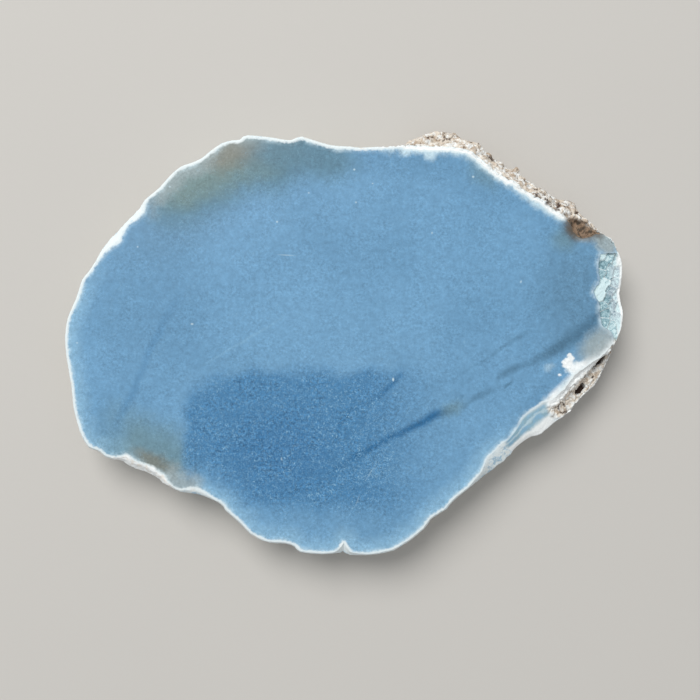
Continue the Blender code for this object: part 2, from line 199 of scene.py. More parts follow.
# Veins of the polished face: their colour, and their lines of (x, y, half width, strength)
VEINS = [
    ("vein_blue", [
        (-5.0, -26.7, 0.7, 0.0), (-3.0, -24.7, 0.7, 0.3), (-0.8, -22.5, 0.75, 0.5),
        (2.5, -20.5, 0.8, 0.8), (5.0, -19.2, 0.8, 0.8), (8.2, -17.4, 0.85, 0.85),
        (10.7, -16.2, 0.9, 0.9), (13.6, -14.9, 1.0, 0.95), (16.3, -13.3, 1.2, 0.95),
        (18.3, -12.7, 1.1, 0.6), (20.4, -12.5, 1.2, 0.0),
    ]),
    ("smoke", [
        (20.4, -12.6, 0.6, 0.0), (22.4, -11.3, 0.6, 0.5), (24.6, -9.7, 0.9, 0.6),
        (27.6, -8.7, 0.8, 0.0),
    ]),
    ("smoke", [
        (27.4, -6.8, 0.6, 0.0), (28.8, -5.9, 0.9, 0.6), (30.7, -4.8, 1.0, 0.7),
        (33.4, -4.1, 0.9, 0.55), (36.1, -2.6, 1.3, 0.85), (38.8, -0.9, 1.7, 1.0),
        (41.5, 1.0, 2.0, 1.0), (44.2, 2.9, 2.0, 1.0), (46.0, 5.5, 1.6, 0.8),
        (46.6, 7.4, 1.2, 0.0),
    ]),
    ("smoke", [
        (20.6, -6.2, 0.4, 0.0), (23.5, -4.3, 0.5, 0.3), (26.2, -2.8, 0.5, 0.35),
        (28.0, -1.6, 0.5, 0.45), (30.2, -0.1, 0.5, 0.45), (32.4, 1.3, 0.6, 0.35),
        (34.2, 2.4, 0.6, 0.0),
    ]),
    ("vein_blue", [
        (10.6, -5.6, 0.6, 0.0), (9.4, -6.8, 0.7, 0.7), (7.9, -8.4, 0.7, 0.7),
        (6.1, -10.0, 0.7, 0.5), (3.8, -11.2, 0.6, 0.3), (1.7, -12.2, 0.6, 0.35),
        (-0.2, -14.0, 0.6, 0.45), (-1.3, -16.5, 0.6, 0.35), (-2.2, -18.8, 0.6, 0.0),
    ]),
    ("vein_and_shade_blue", [
        (-28.4, 10.4, 1.0, 0.0), (-31.4, 5.3, 1.0, 0.15), (-33.2, 2.0, 1.0, 0.25),
        (-35.0, -1.6, 1.0, 0.3), (-36.4, -5.2, 1.0, 0.25), (-38.2, -9.7, 1.0, 0.3),
        (-39.7, -12.4, 1.1, 0.3), (-41.5, -16.6, 1.4, 0.0),
    ]),
    ("slate_blue", [
        (39.2, -3.6, 1.0, 0.0), (37.0, -7.3, 1.4, 0.5), (33.8, -11.4, 1.3, 0.5),
        (28.6, -16.4, 0.9, 0.0),
    ]),
    ("fleck", [
        (-10.2, 5.0, 0.3, 0.0), (-14.8, 2.0, 0.3, 0.2), (-21.5, -2.0, 0.3, 0.2),
        (-26.5, -4.8, 0.3, 0.0),
    ]),
]

# Smaller spots in the polished face, in the same terms as the clouds
SPOTS = [
    ((45.6, -0.4), (6.2, 3.4), 42.0, 0.25, 0.9, "pale_grey"),
    ((39.6, 18.4), (3.6, 3.6), 0.0, 0.1, 0.5, "green_grey"),
    ((41.6, 20.0), (3.2, 2.6), -20.0, 0.25, 0.85, "umber"),
    ((46.9, 17.7), (3.4, 2.2), -38.0, 0.4, 0.95, "pale_grey"),
    ((37.4, -12.0), (2.2, 3.8), -40.0, 0.3, 0.9, "fresh_white"),
    ((41.6, -5.0), (2.3, 1.9), -20.0, 0.3, 0.9, "pale_white"),
    ((40.2, -4.0), (1.2, 1.2), 0.0, 0.6, 1.0, "fresh_white"),
    ((40.7, -2.9), (0.9, 0.9), 0.0, 0.5, 0.95, "fresh_white"),
    ((38.8, -6.1), (0.55, 0.45), 30.0, 0.2, 0.9, "fresh_white"),
    ((42.0, -4.8), (2.6, 1.5), 15.0, 0.4, 0.9, "fresh_white"),
    ((36.9, -4.6), (1.6, 1.1), 30.0, 0.1, 0.35, "pale_white"),
    ((39.6, -8.2), (1.0, 2.2), -30.0, 0.2, 0.55, "pale_white"),
    ((19.4, -12.1), (3.6, 2.0), 25.0, 0.1, 0.5, "green_grey"),
    ((21.2, -9.9), (0.8, 0.7), 20.0, 0.2, 0.55, "smoke"),
    ((29.5, -7.9), (1.2, 0.5), 34.0, 0.3, 0.8, "smoke"),
    ((-1.3, 34.6), (1.6, 1.0), 0.0, 0.1, 0.5, "pale_white"),
    ((11.0, 34.3), (1.8, 1.3), 0.0, 0.1, 0.6, "pale_white"),
    ((15.4, 34.0), (1.6, 2.3), 0.0, 0.3, 0.8, "pale_white"),
    ((20.2, 34.0), (1.5, 1.2), 0.0, 0.1, 0.55, "pale_white"),
    ((34.4, 25.2), (3.6, 1.6), -35.0, 0.1, 0.55, "pale_white"),
    ((-0.1, -37.2), (0.9, 1.5), 0.0, 0.5, 1.0, "fresh_white"),
]

# The glassy grey corner beside the fractured end and the bright rim beside it, in the deep zone's
# terms
GLASSY_END = ((47.3, 17.7), (3.1, 2.0), -38.0, 0.4)
GLASSY_RIM = ((48.4, 17.4), (5.2, 4.6), 0.0, 0.7)

# Bright crystals and short scratches in the polished face: middle, radii, turn and strength
SPECKS = [
    ((8.8, -6.9), (0.3, 0.5), 0.0, 0.95), ((-12.1, 21.5), (0.28, 0.28), 0.0, 0.7),
    ((23.2, 29.6), (0.34, 0.3), 0.0, 0.8), ((1.8, 30.9), (0.3, 0.28), 0.0, 0.75),
    ((-6.4, 26.7), (0.26, 0.24), 0.0, 0.5), ((5.1, 28.4), (0.28, 0.2), 0.0, 0.5),
    ((-31.4, 27.8), (0.34, 0.26), 0.0, 0.6), ((-37.2, 17.0), (0.26, 0.26), 0.0, 0.5),
    ((-27.4, 3.1), (0.4, 0.28), 0.0, 0.7), ((15.8, 19.5), (0.26, 0.34), -20.0, 0.5),
    ((31.8, 10.7), (0.26, 0.4), -15.0, 0.6), ((-11.3, -21.2), (0.24, 0.4), 0.0, 0.5),
    ((-48.1, -0.3), (0.3, 0.24), 0.0, 0.5), ((2.1, 25.0), (0.3, 0.28), 0.0, 0.5),
    ((-10.4, 15.5), (2.2, 0.16), -3.0, 0.4), ((4.6, -23.8), (0.12, 2.2), -32.0, 0.28),
    ((2.4, -28.6), (0.12, 1.8), -18.0, 0.25),
]

# The centre of the circular saw's marks, the reach that makes a pattern run straight through the
# slab, and how many times larger a vein's small widths stand in their curve
SAW_CENTRE = (-180.0, 60.0, 0.0)
THROUGH = 1000.0
WIDTH_GAIN = 10.0

# The studio's lights: their colours, and the large soft light's place and size in metres
SKY_COLOUR = (0.96, 0.98, 1.0, 1.0)
KEY_COLOUR = (1.0, 0.99, 0.97)
KEY_PLACE = Vector((-0.35, 0.62, 0.95))
KEY_SIZE = 0.8


def along_line(places, line):
    """For each place, how far it lies from the line through these points."""
    nearest = np.full(len(places), 1e9)
    for start, end in zip(line, line[1:]):
        start = np.array(start)
        run = np.array(end) - start
        offset = places - start
        share = (offset[:, 0] * run[0] + offset[:, 1] * run[1]) / (run[0] ** 2 + run[1] ** 2)
        offset = offset - np.clip(share, 0.0, 1.0)[:, None] * run
        nearest = np.minimum(nearest, np.hypot(offset[:, 0], offset[:, 1]))
    return nearest


def smooth_step(low, high, values):
    """0 below low, 1 above high and a soft change between them; low may be the higher one."""
    share = np.clip((values - low) / (high - low), 0.0, 1.0)
    return share * share * (3.0 - 2.0 * share)


def zones_at(places):
    """Each zone's weight at these places: 1 near the zone's line and 0 past its end."""
    return {
        name: smooth_step(end, full, along_line(places, line))
        for name, ((full, end), line) in ZONES.items()
    }


def zone_places(places, rings):
    """Where each place's zones are looked up: moved about on the walls, for ragged ends."""
    down = np.clip((rings - RIM_RING) / 2.0, 0.0, 1.0)
    spots = [Vector(place) / WALL_BENDS for place in places]
    shifts = np.array([[noise.noise(spot + apart) for apart in BEND_OFFSETS] for spot in spots])
    return places[:, :2] + WALL_FRAY * down[:, None] * shifts


def slab_skin():
    """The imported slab's skin in millimetres, open where the polished face and the back were."""
    bm = bmesh.new()
    bm.from_mesh(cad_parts[SLAB_NODE].data)
    bmesh.ops.scale(bm, verts=bm.verts, vec=(1.0 / MM,) * 3)
    bmesh.ops.remove_doubles(bm, verts=bm.verts, dist=TOUCH)
    heights = [vert.co.z for vert in bm.verts]
    levels = (min(heights), max(heights))
    flat = [
        face
        for face in bm.faces
        if any(all(abs(vert.co.z - level) < TOUCH for vert in face.verts) for level in levels)
    ]
    bmesh.ops.delete(bm, geom=flat, context="FACES")
    for name in ("ring", "crack", "pale", "pit", "inside"):
        bm.verts.layers.float.new(name)
    return bm


def number_rings(bm):
    """Writes on every point which ring it is in, counted down from the polished face's edge."""
    layer = bm.verts.layers.float["ring"]
    top = max(vert.co.z for vert in bm.verts)
    ring = [vert for vert in bm.verts if vert.is_boundary and vert.co.z > top - TOUCH]
    seen = set(ring)
    number = 0
    while ring:
        for vert in ring:
            vert[layer] = number
        around = {edge.other_vert(vert) for vert in ring for edge in vert.link_edges}
        ring = [vert for vert in around if vert not in seen]
        seen.update(ring)
        number += 1
    for vert in bm.verts:
        if vert.is_boundary and vert.co.z < TOUCH:
            vert[layer] = FOOT_RING


def refine(bm, shape):
    """Splits the skin's long edges in a few rounds, down to the length that each zone allows."""
    ring_layer = bm.verts.layers.float["ring"]
    for _ in range(REFINING_ROUNDS):
        edges = list(bm.edges)
        middles = np.array([(edge.verts[0].co + edge.verts[1].co) / 2 for edge in edges])
        rings = np.array([sum(vert[ring_layer] for vert in edge.verts) / 2 for edge in edges])
        weights = zones_at(middles[:, :2])
        fine = np.maximum.reduce([weights[name] for name in FINE_ZONES])
        shelf_facet = shape.plain_facet + (shape.rough_facet - shape.plain_facet) * fine
        longest = np.where(rings <= RIM_RING + 0.5, shelf_facet, shape.wall_facet) / MM
        too_long = [
            edge for edge, most in zip(edges, longest) if edge.calc_length() > most * SPLIT_FROM
        ]
        bmesh.ops.subdivide_edges(bm, edges=too_long, cuts=1, use_grid_fill=True)
        big = [face for face in bm.faces if len(face.verts) > 3]
        bmesh.ops.triangulate(bm, faces=big, quad_method="SHORT_EDGE")


def fractal(spot, size, octaves):
    """Fractal noise, about -1 to 1, with lumps of this size in millimetres."""
    return noise.fractal(spot / size, 1.0, 2.0, octaves)


def lumps(spot, layers):
    """Fractal relief in layers of lump size, octaves and height."""
    return sum(height * fractal(spot, size, octaves) for size, octaves, height in layers)


def depth_in(zones, depths):
    """The depth at a point, from each zone's depth and the point's share of the zone."""
    return sum(depth * zones[name] for name, depth in depths.items())


def nearest_plates(place):
    """The two fracture plates nearest to a place, as (distance, plate)."""
    found = sorted((math.dist(place, plate[:2]), plate) for plate in FRACTURE_PLATES)
    return found[0], found[1]


def crevice(spot, size):
    """1 in the crevices between lumps of this size in millimetres, and 0 on the lumps."""
    nearest, second = noise.voronoi(spot / size)[0][:2]
    return max(0.0, 1.0 - (second - nearest) / 0.25)


def deepest_pit(place):
    """How much a place belongs to one of the deep pits, and that pit's depth."""
    found = (0.0, 0.0)
    for centre, radii, turn, depth in PITS:
        offset = Vector(place) - Vector(centre)
        offset.rotate(Matrix.Rotation(-math.radians(turn), 2))
        reach = math.hypot(offset.x / radii[0], offset.y / radii[1])
        share = min(max((1.0 - reach) / 0.4, 0.0), 1.0)
        found = max(found, (share, depth))
    return found


def edge_move(spot, out, zones):
    """How a point of the polished face's edge moves in or out, in small chips."""
    slide = out * depth_in(zones, EDGE_CHIPS)
    return slide * (fractal(spot, 0.7, 3) + 0.5 * fractal(spot, 2.2, 1))


def shelf_lift(spot, ring, zones):
    """How far a point of the rim's shelf is raised, and how much of a pit it lies in."""
    crust, ledge = zones["crust"], zones["ledge"]
    lift = (crust + 0.6 * ledge + 0.5 * zones["rust"]) * lumps(spot, SAND_GRAINS)
    pit = 0.0
    sandy = max(crust, ledge) * min(1.0, ring / 2.0)
    if sandy > 0.0:
        size = CRUST_LUMP if crust > ledge else LEDGE_LUMP
        gap = crevice(spot + Vector((0.4, 0.4, 0.4)) * fractal(spot, 0.7, 2), size)
        hole, depth = deepest_pit(spot.xy)
        lift -= sandy * (CREVICE_DEPTH * gap + depth * hole)
        # Some crevices are marked for dark brown, which is partly painted shade in them
        dark_gap = gap * float(smooth_step(0.0, 0.4, fractal(spot, 2.4, 1)))
        pit = sandy * max(hole, 0.85 * dark_gap)
    lift += depth_in(zones, RIM_SCUFFS) * fractal(spot, 0.5, 2)
    lift += LEDGE_LIP * ledge * max(0.0, 1.0 - abs(ring - 1.5) / 1.5)
    lift += 0.04 * zones["bevel"] * fractal(spot, 1.3, 1)
    return lift, pit


def fracture_step(spot, ring, zones, top):
    """How far a point of the fracture moves to its plate, its share of a crack, and its paleness."""
    (near, plate), (next_near, next_plate) = nearest_plates(spot.xy)
    cracked = abs(plate[2] - next_plate[2]) >= CRACK_FROM
    crack = max(0.0, 1.0 - (next_near - near) / CRACK_WIDTH) if cracked else 0.0
    level = top - plate[2] + 0.05 * fractal(spot, 0.5, 2)
    inner = min(1.0, ring / 0.7) * min(1.0, (RIM_RING - ring) / 0.7)
    return (level - spot.z) * zones["plates"] * inner, zones["plates"] * crack, plate[3]


def wall_lift(spot, zones):
    """How far a point of the side walls is raised, and how much of a crevice it lies in."""
    crust, ledge = zones["crust"], zones["ledge"]
    sandy = max(crust, ledge)
    gap = crevice(spot, WALL_LUMP) if sandy > 0.0 else 0.0
    lift = lumps(spot, WALL_LUMPS) - WALL_CREVICE_DEPTH * sandy * gap
    lift += 0.18 * sandy * fractal(spot, 0.9, 3)
    return lift, (0.6 * crust + 0.3 * ledge) * gap


def add_relief(bm):
    """Gives the skin its fine relief: grains, pits, chips and fracture steps."""
    bm.normal_update()
    layers = bm.verts.layers.float
    ring_layer, crack_layer = layers["ring"], layers["crack"]
    pale_layer, pit_layer = layers["pale"], layers["pit"]
    verts = list(bm.verts)
    places = np.array([vert.co for vert in verts])
    rings = np.array([vert[ring_layer] for vert in verts])
    weights = zones_at(zone_places(places, rings))
    weights["plain"] = 1.0 - np.maximum.reduce([weights[name] for name in FINE_ZONES])
    top = places[:, 2].max()
    moves = []
    for index, vert in enumerate(verts):
        zones = {name: weight[index] for name, weight in weights.items()}
        ring = vert[ring_layer]
        spot = vert.co.copy()
        out = Vector((vert.normal.x, vert.normal.y, 0.0))
        if out.length > 1e-6:
            out.normalize()
        if ring == 0.0:
            move = edge_move(spot, out, zones)
        elif ring <= RIM_RING:
            lift, vert[pit_layer] = shelf_lift(spot, ring, zones)
            move = vert.normal * lift * min(1.0, ring / 1.2)
            if zones["plates"] > 0.0:
                step, vert[crack_layer], vert[pale_layer] = fracture_step(spot, ring, zones, top)
                move.z += step
            if ring > RIM_RING - 0.5:
                move -= out * depth_in(zones, OUTER_CHIPS) * abs(fractal(spot, 0.9, 3))
        else:
            lift, vert[pit_layer] = wall_lift(spot, zones)
            fade = min(1.0, (ring - RIM_RING) / 1.5) * min(1.0, FOOT_RING - ring)
            move = vert.normal * lift * fade
        moves.append(move)
    low, high = (Vector(corner) / MM for corner in CAD_BOX)
    for vert, move in zip(verts, moves):
        moved = vert.co + move
        if vert[ring_layer] > 0.0:
            moved.z = min(moved.z, top - FACE_CLEARANCE)
        vert.co = [min(max(moved[axis], low[axis]), high[axis]) for axis in range(3)]


def boundary_edges(bm, level):
    """The open edges at this height."""
    return [
        edge
        for edge in bm.edges
        if edge.is_boundary and all(abs(vert.co.z - level) < TOUCH for vert in edge.verts)
    ]


def within(places, border):
    """For each place, whether it lies inside the outline that these edges form."""
    across, up = places[:, 0], places[:, 1]
    crossings = np.zeros(len(places), int)
    for edge in border:
        (x1, y1), (x2, y2) = (vert.co.xy for vert in edge.verts)
        if y1 != y2:
            beyond = across < x1 + (up - y1) / (y2 - y1) * (x2 - x1)
            crossings += ((y1 > up) != (y2 > up)) & beyond
    return crossings % 2 == 1


def fill_flat(bm, level, spacing, clearance):
    """Fills the opening at this height with a grid that is joined to the opening's edge."""
    border = boundary_edges(bm, level)
    low, high = (corner / MM for corner in CAD_BOX)
    size = high - low
    centre = Matrix.Translation(((low.x + high.x) / 2, (low.y + high.y) / 2, level))
    old_faces = set(bm.faces)
    bmesh.ops.create_grid(
        bm,
        x_segments=round(size.x / spacing),
        y_segments=round(size.y / spacing),
        size=0.5,
        matrix=centre @ Matrix.Diagonal((size.x, size.y, 1.0, 1.0)),
    )
    grid = [face for face in bm.faces if face not in old_faces]
    tree = KDTree(2 * len(border))
    for index, edge in enumerate(border):
        tree.insert(edge.verts[0].co, 2 * index)
        tree.insert(edge.verts[1].co, 2 * index + 1)
    tree.balance()
    centres = [face.calc_center_median() for face in grid]
    inside = within(np.array(centres)[:, :2], border)
    keep = {
        face
        for face, place, is_inside in zip(grid, centres, inside)
        if is_inside and tree.find(place)[2] > clearance * spacing
    }
    bmesh.ops.delete(bm, geom=[face for face in grid if face not in keep], context="FACES")
    both_borders = boundary_edges(bm, level)
    made = bmesh.ops.triangle_fill(
        bm, use_beauty=True, edges=both_borders, normal=(0.0, 0.0, 1.0)
    )
    joined = [item for item in made["geom"] if isinstance(item, bmesh.types.BMFace)]
    return list(keep) + joined


def closed_stone(skin, spacing):
    """The skin with both of its flat faces filled, and the faces of each filling."""
    heights = [vert.co.z for vert in skin.verts]
    for clearance in GRID_CLEARANCES:
        bm = skin.copy()
        polished = fill_flat(bm, max(heights), spacing, clearance)
        sawn = fill_flat(bm, min(heights), SAWN_COARSER * spacing, clearance)
        bmesh.ops.holes_fill(bm, edges=[edge for edge in bm.edges if edge.is_boundary], sides=0)
        if all(edge.is_manifold for edge in bm.edges):
            skin.free()
            return bm, polished, sawn
        bm.free()
    raise RuntimeError("the stone's skin isn't closed")


def edge_distances(bm, face_edge):
    """Writes on every point how far it lies from the polished face's edge: above 0 on the face."""
    layer = bm.verts.layers.float["inside"]
    ring_layer = bm.verts.layers.float["ring"]
    tree = KDTree(len(face_edge))
    for index, place in enumerate(face_edge):
        tree.insert(place.to_3d(), index)
    tree.balance()
    for vert in bm.verts:
        distance = tree.find(vert.co.xy.to_3d())[2]
        vert[layer] = -distance if vert[ring_layer] > 0.0 else distance


def write_zones(mesh):
    """Stores the zones as attributes of the finished mesh, for its finishes."""
    places = np.array([vert.co for vert in mesh.vertices]) / MM
    rings = np.array([ring.value for ring in mesh.attributes["ring"].data])
    for name, weight in zones_at(zone_places(places, rings)).items():
        attribute = mesh.attributes.new(name, "FLOAT", "POINT")
        attribute.data.foreach_set("value", weight.astype(np.float32))


def stone_piece(shape, finishes):
    """The whole stone as one closed mesh."""
    skin = slab_skin()
    number_rings(skin)
    refine(skin, shape)
    add_relief(skin)
    top = max(vert.co.z for vert in skin.verts)
    edge_verts = [vert for vert in skin.verts if vert.is_boundary and vert.co.z > top - TOUCH]
    face_edge = [vert.co.xy.copy() for vert in edge_verts]
    bm, polished, sawn = closed_stone(skin, shape.face_grid / MM)
    edge_distances(bm, face_edge)
    for faces, smooth, finish in ((bm.faces, True, 1), (polished, False, 0), (sawn, False, 2)):
        for face in faces:
            face.smooth = smooth
            face.material_index = finish
    bmesh.ops.triangulate(bm, faces=[face for face in bm.faces if len(face.verts) > 4])
    bmesh.ops.recalc_face_normals(bm, faces=bm.faces)
    bmesh.ops.scale(bm, verts=bm.verts, vec=(MM,) * 3)
    mesh = bpy.data.meshes.new("angelite_stone")
    bm.to_mesh(mesh)
    bm.free()
    write_zones(mesh)
    for finish in finishes:
        mesh.materials.append(finish)
    stone = bpy.data.objects.new("angelite_stone", mesh)
    bpy.context.scene.collection.objects.link(stone)
    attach(stone, "root")
    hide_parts(SLAB_NODE)
    return stone


class Signal:
    """A node's output, which Python's operators take further with Math nodes."""

    def __init__(self, finish, socket):
        self.finish = finish
        self.socket = socket

    def math(self, operation, first, second):
        """Adds a Math node on two values."""
        return self.finish.node("ShaderNodeMath", {"operation": operation}, {0: first, 1: second})

    def __add__(self, other):
        return self.math("ADD", self, other)

    def __radd__(self, other):
        return self.math("ADD", other, self)

    def __sub__(self, other):
        return self.math("SUBTRACT", self, other)

    def __rsub__(self, other):
        return self.math("SUBTRACT", other, self)

    def __mul__(self, other):
        return self.math("MULTIPLY", self, other)

    def __rmul__(self, other):
        return self.math("MULTIPLY", other, self)

    def __truediv__(self, other):
        return self.math("DIVIDE", self, other)

    def __abs__(self):
        return self.math("ABSOLUTE", self, 0.0)


class Finish:
    """A material under construction."""

    def __init__(self, name):
        self.material = bpy.data.materials.new(name)
        self.material.use_nodes = True
        self.tree = self.material.node_tree
        self.shader = self.tree.nodes["Principled BSDF"]
        coordinates = self.node("ShaderNodeTexCoord", {}, {}, "Object")
        self.place = self.scale(coordinates, 1.0 / MM)

    def node(self, kind, settings, values, output=0):
        """Adds a node with these settings and inputs, and returns one of its outputs."""
        node = self.tree.nodes.new(kind)
        for name, value in settings.items():
            if name == "curve":
                self.set_curve(node.mapping, value)
            else:
                setattr(node, name, value)
        for name, value in values.items():
            self.feed(node.inputs[name], value)
        return Signal(self, node.outputs[output])

    def feed(self, socket, value):
        """Sets an input to a number or colour, or links a signal to it."""
        if isinstance(value, Signal):
            self.tree.links.new(value.socket, socket)
        else:
            socket.default_value = value

    @staticmethod
    def set_curve(mapping, points):
        """Puts a curve's points at these places, level beyond its ends."""
        curve = mapping.curves[0]
        while len(curve.points) < len(points):
            curve.points.new(0.5, 0.5)
        for point, place in zip(curve.points, points):
            point.location = place
        mapping.extend = "HORIZONTAL"
        mapping.update()

    def attribute(self, name):
        """A value stored on the mesh's points."""
        return self.node("ShaderNodeAttribute", {"attribute_name": name}, {}, "Fac")

    def noise(self, size, detail=2.0, roughness=0.5, distortion=0.0):
        """Soft noise from 0 to 1 with lumps of about this size."""
        values = {
            "Vector": self.place,
            "Scale": 1.0 / size,
            "Detail": detail,
            "Roughness": roughness,
            "Distortion": distortion,
        }
        return self.node("ShaderNodeTexNoise", {}, values, "Fac")

    def step(self, value, low, high):
        """0 below low, 1 above high and a soft change between them."""
        if low > high:
            return 1.0 - self.step(value, high, low)
        values = {"Value": value, "From Min": low, "From Max": high}
        return self.node("ShaderNodeMapRange", {"interpolation_type": "SMOOTHSTEP"}, values)

    def mix(self, under, over, share, blend="MIX"):
        """Two colours mixed, with this share of the one that goes over."""
        settings = {"data_type": "RGBA", "blend_type": blend, "clamp_factor": True}
        return self.node("ShaderNodeMix", settings, {0: share, 6: under, 7: over}, 2)

    def blotch(self, under, over, texture, low, high, share=1.0):
        """A colour with blotches of another, where a noise passes from low to high."""
        return self.mix(under, over, self.step(texture, low, high) * share)

    def spots(self, under, colours, spots, place):
        """A colour with oval clouds or spots of the stone's other colours."""
        for centre, radii, turn, core, share, name in spots:
            spot = self.patch(centre, radii, turn, core, place)
            under = self.mix(under, getattr(colours, name), spot * share)
        return under

    def scale(self, colour, factor):
        """A colour or place, scaled by a factor."""
        values = {0: colour, "Scale": factor}
        return self.node("ShaderNodeVectorMath", {"operation": "SCALE"}, values)

    def wander(self, size, amount):
        """The place, moved about by soft noise, for borders that aren't geometric."""
        values = {"Vector": self.place, "Scale": 1.0 / size, "Detail": 3.0}
        colour = self.node("ShaderNodeTexNoise", {}, values, "Color")
        values = {0: colour, 1: (0.5, 0.5, 0.5)}
        centred = self.node("ShaderNodeVectorMath", {"operation": "SUBTRACT"}, values)
        values = {0: self.place, 1: self.scale(centred, amount)}
        return self.node("ShaderNodeVectorMath", {"operation": "ADD"}, values)

    def patch(self, centre, radii, turn=0.0, core=0.2, place=None):
        """An oval patch: 1 in its core, and 0 from its radii outwards."""
        values = {
            "Vector": place or self.place,
            "Location": (centre[0], centre[1], 0.0),
            "Rotation": (0.0, 0.0, math.radians(turn)),
            "Scale": (radii[0], radii[1], THROUGH),
        }
        inside = self.node("ShaderNodeMapping", {"vector_type": "TEXTURE"}, values)
        reach = self.node("ShaderNodeVectorMath", {"operation": "LENGTH"}, {0: inside}, "Value")
        return self.step(reach, 1.0, core)

    def parts(self, place):
        """How far along x and along y a place lies."""
        split = self.node("ShaderNodeSeparateXYZ", {}, {0: place}, "X")
        return split, Signal(self, split.socket.node.outputs["Y"])

    def vein(self, line, place):
        """A vein along a line of (x, y, half width, strength)."""
        start = Vector(line[0][:2])
        run = Vector(line[-1][:2]) - start
        bends, widths, strengths = [], [], []
        for x, y, half_width, strength in line:
            offset = Vector((x, y)) - start
            share = offset.dot(run) / run.length_squared
            bends.append((share, 0.5 + run.cross(offset) / run.length_squared))
            widths.append((share, WIDTH_GAIN * half_width / run.length))
            strengths.append((share, strength))
        values = {
            "Vector": place,
            "Location": (start.x, start.y, 0.0),
            "Rotation": (0.0, 0.0, math.atan2(run.y, run.x)),
            "Scale": (run.length, run.length, THROUGH),
        }
        inside = self.node("ShaderNodeMapping", {"vector_type": "TEXTURE"}, values)
        along, across = self.parts(inside)
        middle = self.node("ShaderNodeFloatCurve", {"curve": bends}, {"Value": along}) - 0.5
        width = self.node("ShaderNodeFloatCurve", {"curve": widths}, {"Value": along}) / WIDTH_GAIN
        strength = self.node("ShaderNodeFloatCurve", {"curve": strengths}, {"Value": along})
        return self.step(abs(across - middle) / width, 1.25, 0.0) * strength

    def bump(self, height, depth):
        """A bump in which a height of 1 stands for this depth in millimetres."""
        values = {"Height": height, "Distance": depth * MM, "Strength": 1.0}
        return self.node("ShaderNodeBump", {}, values, "Normal")

    def finish(self, colour, roughness, normal):
        """Gives the shader its colour, roughness and relief, and returns the material."""
        self.feed(self.shader.inputs["Base Color"], colour)
        self.feed(self.shader.inputs["Roughness"], roughness)
        self.feed(self.shader.inputs["Normal"], normal)
        return self.material


def srgb(red, green, blue):
    """A linear colour from red, green and blue as seen on a screen, 0 to 255."""
    channels = [value / 255 for value in (red, green, blue)]
    linear = [
        value / 12.92 if value <= 0.04045 else ((value + 0.055) / 1.055) ** 2.4
        for value in channels
    ]
    return (*linear, 1.0)


